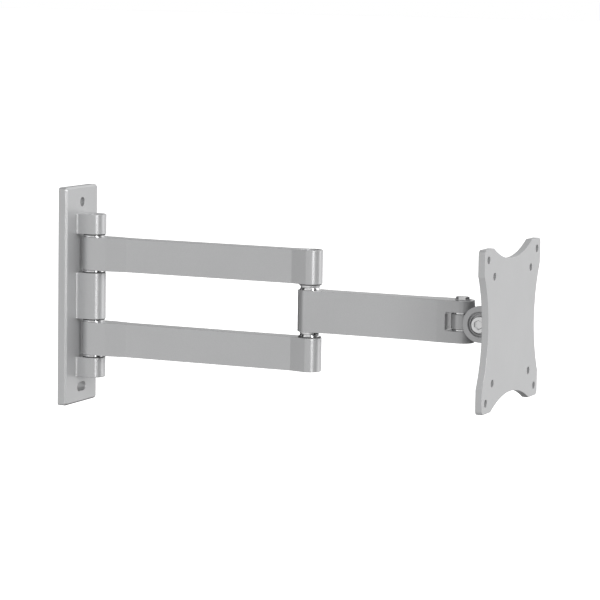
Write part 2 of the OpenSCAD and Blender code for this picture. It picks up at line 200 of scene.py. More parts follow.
def loft(name, layers, place=Matrix.Identity(4)):
    """Closed solid through (outline, height) layers in mm, drawn in the local XY plane."""
    bm = bmesh.new()
    rings = [[bm.verts.new(place @ Vector((x, y, z)) * MM) for x, y in outline] for outline, z in layers]
    count = len(rings[0])
    for low, high in zip(rings, rings[1:]):
        for i in range(count):
            j = (i + 1) % count
            bm.faces.new((low[i], low[j], high[j], high[i]))
    bm.faces.new(rings[0])
    bm.faces.new(rings[-1])
    return new_object(name, bm)


def prism(name, outline, low, high, place=Matrix.Identity(4)):
    """Outline in mm raised from one height to another."""
    return loft(name, [(outline, low), (outline, high)], place)


def lathe(name, profile, place=Matrix.Identity(4), steps=96):
    """Closed solid from (radius, height) points in mm, turned round the local Z axis."""
    bm = bmesh.new()
    rings = []
    for radius, z in profile:
        if radius == 0:
            rings.append([bm.verts.new(place @ Vector((0, 0, z)) * MM)])
        else:
            rings.append([bm.verts.new(place @ Vector((radius * math.cos(a), radius * math.sin(a), z)) * MM)
                          for a in (2 * math.pi * i / steps for i in range(steps))])
    pairs = list(zip(rings, rings[1:]))
    if profile[0][0] > 0 and profile[-1][0] > 0:
        pairs.append((rings[-1], rings[0]))
    for a, b in pairs:
        for i in range(steps):
            j = (i + 1) % steps
            corners = [a[i % len(a)], a[j % len(a)], b[j % len(b)], b[i % len(b)]]
            bm.faces.new(list(dict.fromkeys(corners)))
    return new_object(name, bm)


def settle(piece):
    """Turns the piece's modifiers into mesh."""
    graph = bpy.context.evaluated_depsgraph_get()
    mesh = bpy.data.meshes.new_from_object(piece.evaluated_get(graph))
    piece.modifiers.clear()
    piece.data = mesh


def round_edges(piece, width, segments=3, angle=50):
    bevel = piece.modifiers.new("round", "BEVEL")
    bevel.width = width * MM
    bevel.segments = segments
    bevel.limit_method = "ANGLE"
    bevel.angle_limit = math.radians(angle)
    settle(piece)


def combine(piece, other, operation):
    """Joins, cuts or intersects with another solid, which is used up."""
    boolean = piece.modifiers.new("combine", "BOOLEAN")
    boolean.operation = operation
    boolean.solver = "EXACT"
    boolean.object = other
    settle(piece)
    bpy.data.objects.remove(other)


HOLE_STEPS = 64


def drill(piece, radius, low, high, place, bevel=0.4):
    """Round hole between two heights, with a small bevel at each open end."""
    clear = 0.5
    flare = radius + bevel + clear
    cutter = lathe("drill", [(0, low - clear), (flare, low - clear), (radius, low + bevel),
                             (radius, high - bevel), (flare, high + clear), (0, high + clear)],
                   place, HOLE_STEPS)
    combine(piece, cutter, "DIFFERENCE")


def counterbore(piece, radius, floor_at, mouth, place, bevel=0.4):
    """Flat-bottomed round recess, open at the mouth."""
    clear = 0.5
    outward = 1 if mouth > floor_at else -1
    beyond = mouth + outward * clear
    cutter = lathe("counterbore", [(0, floor_at), (radius, floor_at), (radius, mouth - outward * bevel),
                                   (radius + bevel + clear, beyond), (0, beyond)], place, HOLE_STEPS)
    combine(piece, cutter, "DIFFERENCE")


def complete(piece, body, material, slot, *nodes, smooth=35):
    """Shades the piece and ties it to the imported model."""
    for face in piece.data.polygons:
        face.use_smooth = True
    piece.data.set_sharp_from_angle(angle=math.radians(smooth))
    weighted = piece.modifiers.new("even_normals", "WEIGHTED_NORMAL")
    weighted.keep_sharp = True
    settle(piece)
    piece.data.materials.clear()
    piece.data.materials.append(material)
    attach(piece, body)
    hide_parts(*nodes)
    return piece


def at(x, y=0, z=0):
    return Matrix.Translation((x, y, z))


def add_node(tree, kind, values=None, **settings):
    node = tree.nodes.new(kind)
    for key, value in settings.items():
        setattr(node, key, value)
    for socket, value in (values or {}).items():
        node.inputs[socket].default_value = value
    return node


def mix_colours(tree, first, second):
    return add_node(tree, "ShaderNodeMix", {MIX_FIRST: first, MIX_SECOND: second}, data_type="RGBA")


def tinted(colour, factor):
    return tuple(c * factor for c in colour) + (1,)


def new_group(name, inputs, outputs):
    """Empty node group with named inputs, each with its first value, and named outputs."""
    tree = bpy.data.node_groups.new(name, "ShaderNodeTree")
    for label, first in inputs.items():
        tree.interface.new_socket(label, in_out="INPUT", socket_type="NodeSocketFloat").default_value = first
    for label, kind in outputs.items():
        tree.interface.new_socket(label, in_out="OUTPUT", socket_type=kind)
    return tree, tree.nodes.new("NodeGroupInput"), tree.nodes.new("NodeGroupOutput")


def make_edge_wear():
    """Mask that is 1 on convex edges, broken up where handling has missed them."""
    tree, start, end = new_group("edge_wear", {"Width": 0.0008, "Amount": 0.5}, {"Mask": "NodeSocketFloat"})
    rounded = add_node(tree, "ShaderNodeBevel", samples=4)
    true_normal = add_node(tree, "ShaderNodeNewGeometry")
    compare = add_node(tree, "ShaderNodeVectorMath", operation="DOT_PRODUCT")
    turn = add_node(tree, "ShaderNodeMapRange", {"From Min": 0.995, "From Max": 0.90})
    place = add_node(tree, "ShaderNodeTexCoord")
    patches = add_node(tree, "ShaderNodeTexNoise", {"Scale": 140.0, "Detail": 6.0, "Roughness": 0.65})
    broken = add_node(tree, "ShaderNodeMapRange", {"From Min": 0.42, "From Max": 0.62})
    both = add_node(tree, "ShaderNodeMath", operation="MULTIPLY")
    scaled = add_node(tree, "ShaderNodeMath", operation="MULTIPLY")
    links = tree.links
    links.new(start.outputs["Width"], rounded.inputs["Radius"])
    links.new(rounded.outputs["Normal"], compare.inputs[0])
    links.new(true_normal.outputs["Normal"], compare.inputs[1])
    links.new(compare.outputs["Value"], turn.inputs["Value"])
    links.new(place.outputs["Object"], patches.inputs["Vector"])
    links.new(patches.outputs["Fac"], broken.inputs["Value"])
    links.new(turn.outputs["Result"], both.inputs[0])
    links.new(broken.outputs["Result"], both.inputs[1])
    links.new(both.outputs[0], scaled.inputs[0])
    links.new(start.outputs["Amount"], scaled.inputs[1])
    links.new(scaled.outputs[0], end.inputs["Mask"])
    return tree


def make_sprayed_grain():
    """Fine flake grain with a slow orange-peel swell, for sprayed and cast surfaces."""
    tree, start, end = new_group(
        "sprayed_grain", {"Flake Scale": 4200.0, "Peel Scale": 420.0, "Cloud Scale": 26.0},
        {"Flakes": "NodeSocketFloat", "Height": "NodeSocketFloat", "Clouds": "NodeSocketFloat"})
    place = add_node(tree, "ShaderNodeTexCoord")
    flakes = add_node(tree, "ShaderNodeTexVoronoi", {"Randomness": 1.0})
    peel = add_node(tree, "ShaderNodeTexNoise", {"Detail": 3.0, "Roughness": 0.5})
    clouds = add_node(tree, "ShaderNodeTexNoise", {"Detail": 4.0, "Roughness": 0.55})
    grey = add_node(tree, "ShaderNodeSeparateColor")
    height = add_node(tree, "ShaderNodeMath", {1: 0.25}, operation="MULTIPLY_ADD")
    links = tree.links
    for texture, scale in ((flakes, "Flake Scale"), (peel, "Peel Scale"), (clouds, "Cloud Scale")):
        links.new(place.outputs["Object"], texture.inputs["Vector"])
        links.new(start.outputs[scale], texture.inputs["Scale"])
    links.new(flakes.outputs["Color"], grey.inputs["Color"])
    links.new(grey.outputs["Red"], height.inputs[0])
    links.new(peel.outputs["Fac"], height.inputs[2])
    links.new(grey.outputs["Red"], end.inputs["Flakes"])
    links.new(height.outputs[0], end.inputs["Height"])
    links.new(clouds.outputs["Fac"], end.inputs["Clouds"])
    return tree


edge_wear = make_edge_wear()
sprayed_grain = make_sprayed_grain()


def silver_paint(name, colour, metallic, roughness):
    """Satin silver paint with fine flakes over cast aluminium, worn thin on its edges."""
    material = bpy.data.materials.new(name)
    material.use_nodes = True
    tree = material.node_tree
    links = tree.links
    shader = tree.nodes["Principled BSDF"]
    shader.inputs["Metallic"].default_value = metallic
    shader.inputs["IOR"].default_value = 1.5
    shader.inputs["Coat Weight"].default_value = 0.35
    shader.inputs["Coat Roughness"].default_value = 0.14
    grain = add_node(tree, "ShaderNodeGroup", node_tree=sprayed_grain)
    wear = add_node(tree, "ShaderNodeGroup", node_tree=edge_wear)
    wear.inputs["Width"].default_value = 0.0006
    wear.inputs["Amount"].default_value = 0.45
    flake_tone = mix_colours(tree, tinted(colour, 0.95), tinted(colour, 1.05))
    cloud_tone = add_node(tree, "ShaderNodeMapRange",
                          {"From Min": 0.3, "From Max": 0.7, "To Min": 0.0, "To Max": 0.5})
    clouded = mix_colours(tree, tinted(colour, 1), tinted(colour, 0.95))
    bare = mix_colours(tree, tinted(colour, 1), (0.74, 0.74, 0.75, 1))
    rough = add_node(tree, "ShaderNodeMapRange", {"To Min": roughness - 0.04, "To Max": roughness + 0.05})
    bump = add_node(tree, "ShaderNodeBump", {"Strength": 0.10, "Distance": 0.00006})
    links.new(grain.outputs["Flakes"], flake_tone.inputs[MIX_SHARE])
    links.new(grain.outputs["Clouds"], cloud_tone.inputs["Value"])
    links.new(cloud_tone.outputs["Result"], clouded.inputs[MIX_SHARE])
    links.new(flake_tone.outputs[MIX_RESULT], clouded.inputs[MIX_FIRST])
    links.new(clouded.outputs[MIX_RESULT], bare.inputs[MIX_FIRST])
    links.new(wear.outputs["Mask"], bare.inputs[MIX_SHARE])
    links.new(bare.outputs[MIX_RESULT], shader.inputs["Base Color"])
    links.new(grain.outputs["Clouds"], rough.inputs["Value"])
    links.new(rough.outputs["Result"], shader.inputs["Roughness"])
    links.new(grain.outputs["Height"], bump.inputs["Height"])
    links.new(bump.outputs["Normal"], shader.inputs["Normal"])
    return material


plate_paint = silver_paint("plate_silver_paint", (0.535, 0.538, 0.543), 0.35, 0.30)


def knuckle(name, low, high):
    """Flat-sided block with a round front, its sides sweeping out into the plate."""
    root = plate_front - 0.2
    buried = plate_front - 2
    outline = ([(buried, -barrel_r - knuckle_sweep)]
               + arc((root + knuckle_sweep, -barrel_r - knuckle_sweep), knuckle_sweep, 180, 90, 8)
               + arc((wall_x, 0), barrel_r, -90, 90, 48)
               + arc((root + knuckle_sweep, barrel_r + knuckle_sweep), knuckle_sweep, 270, 180, 8)
               + [(buried, barrel_r + knuckle_sweep)])
    block = prism(name, outline, low, high)
    round_edges(block, 0.5, angle=70)
    return block


TO_X = Matrix(((0, 0, 1, 0), (1, 0, 0, 0), (0, 1, 0, 0), (0, 0, 0, 1)))
plate_high = Vector(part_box("wall_plate")[1]) / MM
link_low, link_high = (Vector(corner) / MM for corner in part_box("upper_link"))
rings_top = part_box("wall_friction_rings")[1].z / MM
bolts_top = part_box("wall_pivot_bolts")[1].z / MM
barrel_r = plate_high.x - wall_x
plate_front = 7
plate_corner = 2
plate_edge = 1.4
knuckle_sweep = 2.4
head_sink = 0.8
head_height = 6
head_r = 6.4
recess_r = 6.8
pivot_hole_r = 4.15
knuckle_top = bolts_top + head_sink
middle_half = link_low.z - (rings_top - link_high.z)
screw_z = 70.5
screw_hole_r = 3.5
screw_hole_edge = 0.15
slot_half = 3


def rounded_rectangle(half_w, half_h, radius, steps=8):
    outline = []
    for sx, sy, start in ((1, -1, -90), (1, 1, 0), (-1, 1, 90), (-1, -1, 180)):
        outline += arc((sx * (half_w - radius), sy * (half_h - radius)), radius, start, start + 90, steps)
    return outline


def slot_outline(half_length, radius):
    return arc((half_length, 0), radius, -90, 90, 16) + arc((-half_length, 0), radius, 90, 270, 16)


wall_plate = prism("wall_plate_casting", rounded_rectangle(plate_high.y, plate_high.z, plate_corner),
                   -4, plate_front, TO_X)
round_edges(wall_plate, plate_edge, segments=1)
behind_wall = prism("behind_wall", rounded_rectangle(60, 100, 5), -10, 0, TO_X)
combine(wall_plate, behind_wall, "DIFFERENCE")
for label, low, high in (("upper", rings_top, knuckle_top), ("middle", -middle_half, middle_half),
                         ("lower", -knuckle_top, -rings_top)):
    combine(wall_plate, knuckle("knuckle_" + label, low, high), "UNION")
for side in (1, -1):
    low, high = sorted((side * rings_top, side * knuckle_top))
    drill(wall_plate, pivot_hole_r, low, high, at(wall_x))
    counterbore(wall_plate, recess_r, side * (bolts_top - head_height), side * knuckle_top, at(wall_x))
drill(wall_plate, screw_hole_r, 0, plate_front, at(0, 0, screw_z) @ TO_X, bevel=screw_hole_edge)
slot_layers = [(slot_outline(slot_half, screw_hole_r + grow), x) for x, grow in
               ((-1, 0), (plate_front - screw_hole_edge, 0), (plate_front + 0.5, screw_hole_edge + 0.5))]
combine(wall_plate, loft("slot_cutter", slot_layers, at(0, 0, -screw_z) @ TO_X), "DIFFERENCE")
complete(wall_plate, "wall", plate_paint, "plate_silver", "wall_plate")


# ---- Wall pivot bolts ----
# Two steel socket cap bolts, nickel plated, sunk in the end knuckles and screwed into the
# middle one. Only their heads show, each with a turned rim and a hexagon socket.
def make_turned_finish():
    """Fine level tool marks and rubbed patches on plated or turned steel."""
    tree, start, end = new_group("turned_finish", {"Mark Scale": 9000.0, "Smear Scale": 160.0},
                                 {"Marks": "NodeSocketFloat", "Smears": "NodeSocketFloat"})
    place = add_node(tree, "ShaderNodeTexCoord")
    flatten = add_node(tree, "ShaderNodeMapping", {"Scale": (0.02, 0.02, 1)})
    marks = add_node(tree, "ShaderNodeTexNoise", {"Detail": 2.0})
    smears = add_node(tree, "ShaderNodeTexNoise", {"Detail": 5.0, "Roughness": 0.6})
    links = tree.links
    links.new(place.outputs["Object"], flatten.inputs["Vector"])
    links.new(flatten.outputs["Vector"], marks.inputs["Vector"])
    links.new(place.outputs["Object"], smears.inputs["Vector"])
    links.new(start.outputs["Mark Scale"], marks.inputs["Scale"])
    links.new(start.outputs["Smear Scale"], smears.inputs["Scale"])
    links.new(marks.outputs["Fac"], end.inputs["Marks"])
    links.new(smears.outputs["Fac"], end.inputs["Smears"])
    return tree


turned_finish = make_turned_finish()


def plated_steel(name, colour, roughness, marks):
    """Bright plating: nearly smooth, with faint tool marks and duller rubbed patches."""
    material = bpy.data.materials.new(name)
    material.use_nodes = True
    tree = material.node_tree
    links = tree.links
    shader = tree.nodes["Principled BSDF"]
    shader.inputs["Metallic"].default_value = 1
    finish = add_node(tree, "ShaderNodeGroup", node_tree=turned_finish)
    wear = add_node(tree, "ShaderNodeGroup", node_tree=edge_wear)
    wear.inputs["Width"].default_value = 0.0003
    wear.inputs["Amount"].default_value = 0.5
    tone = mix_colours(tree, tinted(colour, 0.9), tinted(colour, 1))
    edges = mix_colours(tree, tinted(colour, 1), (0.92, 0.92, 0.92, 1))
    rough = add_node(tree, "ShaderNodeMapRange", {"From Min": 0.35, "From Max": 0.7, "To Min": roughness,
                                                  "To Max": roughness + 0.1})
    bump = add_node(tree, "ShaderNodeBump", {"Strength": marks, "Distance": 0.00002})
    links.new(finish.outputs["Smears"], tone.inputs[MIX_SHARE])
    links.new(tone.outputs[MIX_RESULT], edges.inputs[MIX_FIRST])
    links.new(wear.outputs["Mask"], edges.inputs[MIX_SHARE])
    links.new(edges.outputs[MIX_RESULT], shader.inputs["Base Color"])
    links.new(finish.outputs["Smears"], rough.inputs["Value"])
    links.new(rough.outputs["Result"], shader.inputs["Roughness"])
    links.new(finish.outputs["Marks"], bump.inputs["Height"])
    links.new(bump.outputs["Normal"], shader.inputs["Normal"])
    return material


def hexagon(across, angle=30):
    """Corners of a hexagon by its width across flats."""
    return arc((0, 0), across / 2 / math.cos(math.radians(30)), angle, angle + 300, 5)


def cap_bolt(name, x, z, shank_end, shank_r, side=1):
    """Socket cap bolt with its head's seat at height z; its shank points up when side is -1."""
    place = at(x, 0, z) @ Matrix.Diagonal((1, 1, side, 1))
    shank = abs(z - shank_end)
    tip = 0.6
    bolt = lathe(name, [(0, -shank), (shank_r - tip, -shank), (shank_r, -shank + tip), (shank_r, 0),
                        (head_r - 0.2, 0), (head_r, 0.2), (head_r, head_height - 0.7),
                        (head_r - 0.15, head_height - 0.3), (head_r - 0.7, head_height),
                        (0, head_height)], place)
    socket, mouth = hexagon(6), hexagon(6.9)
    socket_layers = [(socket, 2.4), (socket, head_height - 0.35), (mouth, head_height + 0.1)]
    combine(bolt, loft(name + "_socket", socket_layers, place), "DIFFERENCE")
    return bolt


bolt_steel = plated_steel("nickel_plated_steel", (0.70, 0.70, 0.71), 0.16, 0.12)
pivot_r = 4
wall_bolt_seat = bolts_top - head_height
wall_bolt_end = middle_half - 14
upper_bolt = cap_bolt("wall_bolt_upper", wall_x, wall_bolt_seat, wall_bolt_end, pivot_r)
lower_bolt = cap_bolt("wall_bolt_lower", wall_x, -wall_bolt_seat, -wall_bolt_end, pivot_r, side=-1)
complete(upper_bolt, "wall", bolt_steel, "bolt_steel", "wall_pivot_bolts")
complete(lower_bolt, "wall", bolt_steel, "bolt_steel", "wall_pivot_bolts")


# ---- Wall pivot washers and rings ----
# A bright steel washer rides on each end of each inner link, and a black nylon ring takes
# the rubbing between it and the knuckle. Both are clamped by the pivot bolts.
def washer(name, x, low, high, outer, inner, edge=0.25):
    return lathe(name, [(inner, low + edge), (inner + edge, low), (outer - edge, low),
                        (outer, low + edge), (outer, high - edge), (outer - edge, high),
                        (inner + edge, high), (inner, high - edge)], at(x))


def moulded_nylon(name, colour, roughness):
    """Moulded nylon with a fine matt skin, slightly mottled, paler where it is rubbed."""
    material = bpy.data.materials.new(name)
    material.use_nodes = True
    tree = material.node_tree
    links = tree.links
    shader = tree.nodes["Principled BSDF"]
    shader.inputs["IOR"].default_value = 1.53
    grain = add_node(tree, "ShaderNodeGroup", node_tree=sprayed_grain)
    grain.inputs["Flake Scale"].default_value = 2600
    wear = add_node(tree, "ShaderNodeGroup", node_tree=edge_wear)
    wear.inputs["Width"].default_value = 0.0003
    wear.inputs["Amount"].default_value = 0.4
    tone = mix_colours(tree, tinted(colour, 0.85), tinted(colour, 1.15))
    rubbed = mix_colours(tree, tinted(colour, 1), tinted([min(1, c + 0.1) for c in colour], 1))
    rough = add_node(tree, "ShaderNodeMapRange", {"To Min": roughness - 0.08, "To Max": roughness + 0.08})
    bump = add_node(tree, "ShaderNodeBump", {"Strength": 0.2, "Distance": 0.00004})
    links.new(grain.outputs["Clouds"], tone.inputs[MIX_SHARE])
    links.new(tone.outputs[MIX_RESULT], rubbed.inputs[MIX_FIRST])
    links.new(wear.outputs["Mask"], rubbed.inputs[MIX_SHARE])
    links.new(rubbed.outputs[MIX_RESULT], shader.inputs["Base Color"])
    links.new(grain.outputs["Clouds"], rough.inputs["Value"])
    links.new(rough.outputs["Result"], shader.inputs["Roughness"])
    links.new(grain.outputs["Height"], bump.inputs["Height"])
    links.new(bump.outputs["Normal"], shader.inputs["Normal"])
    return material


chrome_plate = plated_steel("bright_chrome_plate", (0.88, 0.88, 0.885), 0.07, 0.08)
zinc_plate = plated_steel("dull_zinc_plate", (0.42, 0.42, 0.425), 0.16, 0.12)
dark_nylon = moulded_nylon("dark_nylon", (0.09, 0.09, 0.092), 0.5)
washer_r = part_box("wall_steel_washers")[1].y / MM
ring_t = 0.7
ring_edge = 0.1
for label, side in (("upper", 1), ("lower", -1)):
    for place, near, far in (("outer", link_high.z, rings_top), ("inner", link_low.z, middle_half)):
        face = far - math.copysign(ring_t, far - near)
        low, high = sorted((side * near, side * face))
        complete(washer("wall_washer_%s_%s" % (label, place), wall_x, low, high, washer_r, pivot_hole_r),
                 "inner_links", chrome_plate, "bright_plate", "wall_steel_washers")
        low, high = sorted((side * face, side * far))
        complete(washer("wall_ring_%s_%s" % (label, place), wall_x, low, high, washer_r, pivot_hole_r,
                        ring_edge),
                 "wall", dark_nylon, "dark_nylon", "wall_friction_rings")


# ---- Inner links ----
# A pair of equal die castings, full width at the wall barrel, slimmer along the bar and
# ramped up to the elbow barrel. Sprayed silver like the plates.
def soften(outline, corners, reach=0.9, steps=3):
    """Rounds the numbered corners of an outline, so that the flats beside them stay crisp."""
    softened = []
    for i, corner in enumerate(outline):
        if i not in corners:
            softened.append(corner)
            continue
        here, before, after = (Vector(outline[k % len(outline)]) for k in (i, i - 1, i + 1))
        room = 0.4 * min((before - here).length, (after - here).length)
        start = here + (before - here).normalized() * min(reach, room)
        stop = here + (after - here).normalized() * min(reach, room)
        for k in range(steps + 1):
            t = k / steps
            softened.append(tuple(start * (1 - t) ** 2 + here * 2 * t * (1 - t) + stop * t ** 2))
    return softened


def link_outline(x, length, start_r, end_r, edge):
    """Plan of a link, from its lower edge's points between two round barrels."""
    left = arc((0, 0), start_r, 90, 270, 48)
    right_end = arc((length, 0), end_r, -90, 90, 48)
    lower = [(px, -py) for px, py in edge]
    outline = left + lower + right_end + edge[::-1]
    count = len(edge)
    corners = [len(left) + i for i in range(count)] + [len(outline) - 1 - i for i in range(count)]
    return [(x + px, py) for px, py in soften(outline, corners)]


link_paint = silver_paint("link_silver_paint", (0.535, 0.538, 0.543), 0.35, 0.30)
link_edge = 0.45
bush_seat_r = 5.5
inner_length = elbow_x - wall_x
inner_half = 6
inner_root = 14.5
inner_taper = 15.6
inner_ramp = 13
inner_plan = link_outline(wall_x, inner_length, barrel_r, barrel_r,
                          [(inner_root, barrel_r), (inner_root + inner_taper, inner_half),
                           (inner_length - inner_ramp, inner_half)])
nut_h = 6.5
for label, side in (("upper", 1), ("lower", -1)):
    low, high = sorted((side * link_low.z, side * link_high.z))
    link = prism(label + "_inner_link", inner_plan, low, high)
    round_edges(link, link_edge)
    drill(link, bush_seat_r, low, high, at(wall_x), bevel=0.3)
    drill(link, pivot_hole_r, low, high, at(elbow_x))
    if side > 0:
        counterbore(link, recess_r, high - head_height - head_sink, high, at(elbow_x))
    else:
        pocket = hexagon(13.4)
        pocket_layers = [(hexagon(14.4), low - 0.5), (pocket, low + 0.4), (pocket, low + nut_h + 0.3)]
        combine(link, loft("nut_pocket", pocket_layers, at(elbow_x)), "DIFFERENCE")
    complete(link, "inner_links", link_paint, "link_silver", label + "_link")


# ---- Elbow bolt, nut, rings and collars ----
# A long cap bolt clamps both inner links on two grooved, chrome plated collars, and the
# outer link turns between them. The nut sits in a hexagon pocket in the lower link.
def hex_nut(name, across, low, high, bore, place):
    """Nut with both faces chamfered round its corners."""
    nut = prism(name, hexagon(across), low, high, place)
    outside = across / 2 / math.cos(math.radians(30)) + 0.4
    rim = across / 2 * 0.97
    drop = (outside - rim) * math.tan(math.radians(28))
    combine(nut, lathe(name + "_chamfer", [(0, low), (rim, low), (outside, low + drop),
                                           (outside, high - drop), (rim, high), (0, high)], place),
            "INTERSECT")
    drill(nut, bore, low, high, place, bevel=0.35)
    return nut


elbow_seat = link_high.z - head_height - head_sink
thread_gap = 0.02
elbow_bolt = cap_bolt("elbow_cap_bolt", elbow_x, elbow_seat, -elbow_seat - nut_h, pivot_r)
complete(elbow_bolt, "inner_links", bolt_steel, "bolt_steel", "elbow_bolt")
complete(hex_nut("elbow_hex_nut", 13, -elbow_seat - nut_h, -elbow_seat, pivot_r + thread_gap,
                 at(elbow_x)),
         "inner_links", bolt_steel, "bolt_steel", "elbow_nut")
collar_low, collar_high = (Vector(corner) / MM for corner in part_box("elbow_collar_upper"))
collar_rim = collar_high.y
collar_neck = 6.9
for label, side in (("upper", 1), ("lower", -1)):
    low, high = sorted((side * collar_low.z, side * collar_high.z))
    waist = (low + high) / 2
    complete(lathe(label + "_elbow_collar",
                   [(pivot_hole_r, low + 0.2), (pivot_hole_r + 0.2, low), (collar_rim - 0.25, low),
                    (collar_rim, low + 0.2), (collar_rim - 0.05, low + 0.45),
                    (collar_neck + 0.2, waist - 0.25), (collar_neck, waist),
                    (collar_neck + 0.2, waist + 0.25), (collar_rim - 0.05, high - 0.45),
                    (collar_rim, high - 0.2), (collar_rim - 0.25, high), (pivot_hole_r + 0.2, high),
                    (pivot_hole_r, high - 0.2)], at(elbow_x)),
             "outer_link", chrome_plate, "bright_plate", "elbow_collar_" + label)
    low, high = sorted((side * collar_high.z, side * link_low.z))
    complete(washer("elbow_ring_" + label, elbow_x, low, high, washer_r, pivot_hole_r, ring_edge),
             "inner_links", dark_nylon, "dark_nylon", "elbow_friction_rings")


# ---- Outer link ----
# A taller casting that turns between the inner links. Its far end is a fork, slotted for
# the swivel block, with a shallow seat for the bolt above and a nut pocket below.
outer_low, outer_high = (Vector(corner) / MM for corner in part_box("fork_link"))
outer_length = swivel_x - elbow_x
fork_r = outer_high.x - swivel_x
outer_half = 7
outer_root = 18
fork_root = 16
flare_length = 28
flare_rise = fork_r - outer_half
flare_radius = (flare_length ** 2 + flare_rise ** 2) / (2 * flare_rise)
flare_turn = math.degrees(math.asin(flare_length / flare_radius))
flare_start = outer_length - fork_root - flare_length
flare = arc((flare_start, outer_half + flare_radius), flare_radius, -90, -90 + flare_turn, 16)
outer_plan = link_outline(elbow_x, outer_length, barrel_r, fork_r, [(outer_root, outer_half)] + flare)
outer_link = prism("outer_forked_link", outer_plan, outer_low.z, outer_high.z)
fork_gap = 6.7
slot_back = swivel_x - 9.8
slot_corner = 1.6
slot_end = swivel_x + 20
slot_plan = ([(slot_end, -fork_gap), (slot_end, fork_gap)]
             + arc((slot_back + slot_corner, fork_gap - slot_corner), slot_corner, 90, 180, 6)
             + arc((slot_back + slot_corner, -fork_gap + slot_corner), slot_corner, 180, 270, 6))
TO_Y = Matrix.Rotation(math.radians(90), 4, "X")
combine(outer_link, prism("slot_cutter", slot_plan, -30, 30, TO_Y), "DIFFERENCE")
round_edges(outer_link, link_edge)
swivel_hole_r = 2.65
swivel_nut_h = 4
seat_t = 1
swivel_sink = 0.9
head_low = outer_high.z - swivel_sink
drill(outer_link, bush_seat_r, outer_low.z, outer_high.z, at(elbow_x), bevel=0.3)
drill(outer_link, swivel_hole_r, outer_low.z, outer_high.z, at(swivel_x), bevel=0.2)
counterbore(outer_link, 5.9, head_low - seat_t, outer_high.z, at(swivel_x), bevel=0.3)
swivel_pocket = hexagon(8.9)
swivel_pocket_layers = [(hexagon(9.6), outer_low.z - 0.5), (swivel_pocket, outer_low.z + 0.3),
                        (swivel_pocket, outer_low.z + swivel_nut_h)]
combine(outer_link, loft("nut_pocket", swivel_pocket_layers, at(swivel_x)), "DIFFERENCE")
complete(outer_link, "outer_link", link_paint, "link_silver", "fork_link")


# ---- Swivel bolt, nut and washers ----
# A hexagon bolt drops through the fork and the swivel block on a dark seat washer. Bright
# washers fill the slot above and below the block's tongue.
swivel_across = 8.5
swivel_r = 2.5
head_turn = 14
head_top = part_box("swivel_bolt")[1].z / MM
hex_head = prism("swivel_hex_bolt", hexagon(swivel_across, head_turn), head_low, head_top, at(swivel_x))
outside = swivel_across / 2 / math.cos(math.radians(30)) + 0.4
combine(hex_head, lathe("head_chamfer", [(0, head_low), (outside, head_low), (outside, head_top - 0.75),
                                         (4.1, head_top - 0.1), (3.8, head_top), (0, head_top)],
                        at(swivel_x)), "INTERSECT")
shank_tip = 0.4
shank_top = head_low + 0.5
combine(hex_head, lathe("swivel_shank", [(0, outer_low.z), (swivel_r - shank_tip, outer_low.z),
                                         (swivel_r, outer_low.z + shank_tip), (swivel_r, shank_top),
                                         (0, shank_top)], at(swivel_x), 48), "UNION")
complete(hex_head, "outer_link", chrome_plate, "bolt_steel", "swivel_bolt")
complete(hex_nut("swivel_hex_nut", swivel_across, outer_low.z, outer_low.z + swivel_nut_h,
                 swivel_r + thread_gap, at(swivel_x)),
         "outer_link", bolt_steel, "bolt_steel", "swivel_nut")
complete(washer("swivel_seat_ring", swivel_x, head_low - seat_t, head_low, 5.5, swivel_hole_r),
         "outer_link", dark_nylon, "dark_nylon", "swivel_seat_washer")
tongue_top = 5.5
for label, side in (("upper", 1), ("lower", -1)):
    low, high = sorted((side * tongue_top, side * fork_gap))
    complete(washer("tongue_washer_" + label, swivel_x, low, high, 7.4, swivel_hole_r, 0.2),
             "outer_link", chrome_plate, "bright_plate", "swivel_washers")


# ---- Swivel block ----
# A small casting: an upright barrel in the fork, a short neck and a level barrel between
# the screen plate's ears.
def block_barrel(name, radius, half, place):
    """Solid barrel with its ends chamfered."""
    edge = 0.4
    return lathe(name, [(0, -half), (radius - edge, -half), (radius, -half + edge),
                        (radius, half - edge), (radius - edge, half), (0, half)], place)


tilt_line = at(tilt_x) @ TO_Y
block_half = -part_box("swivel_block")[0].y / MM
block = block_barrel("swivel_block_casting", 8, tongue_top, at(swivel_x))
neck = prism("neck", [(swivel_x, -tongue_top), (tilt_x, -tongue_top), (tilt_x, tongue_top),
                      (swivel_x, tongue_top)], -tongue_top, tongue_top)
round_edges(neck, 0.8)
combine(block, neck, "UNION")
combine(block, block_barrel("level_barrel", 8.4, block_half, tilt_line), "UNION")
drill(block, 4, -tongue_top, tongue_top, at(swivel_x), bevel=0.3)
drill(block, 4.5, -block_half, block_half, tilt_line, bevel=0.3)
complete(block, "swivel_head", link_paint, "link_silver", "swivel_block")


# ---- Screen plate ----
# Die-cast square plate with a hollow curve in each side, two patterns of screw holes and
# two round ears at the back, each recessed for a tilt washer.
screen_high = Vector(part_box("screen_plate")[1]) / MM
screen_half = screen_high.y
screen_t = 5
screen_back = screen_high.x - screen_t
screen_tab = 18
screen_hollow = 9.8
screen_corner = 3.5
chord = screen_half - screen_tab
hollow_radius = (chord ** 2 + screen_hollow ** 2) / (2 * screen_hollow)
hollow_turn = math.degrees(math.asin(chord / hollow_radius))


def turned(points, quarter):
    c, s = ((1, 0), (0, 1), (-1, 0), (0, -1))[quarter]
    return [(x * c - y * s, x * s + y * c) for x, y in points]


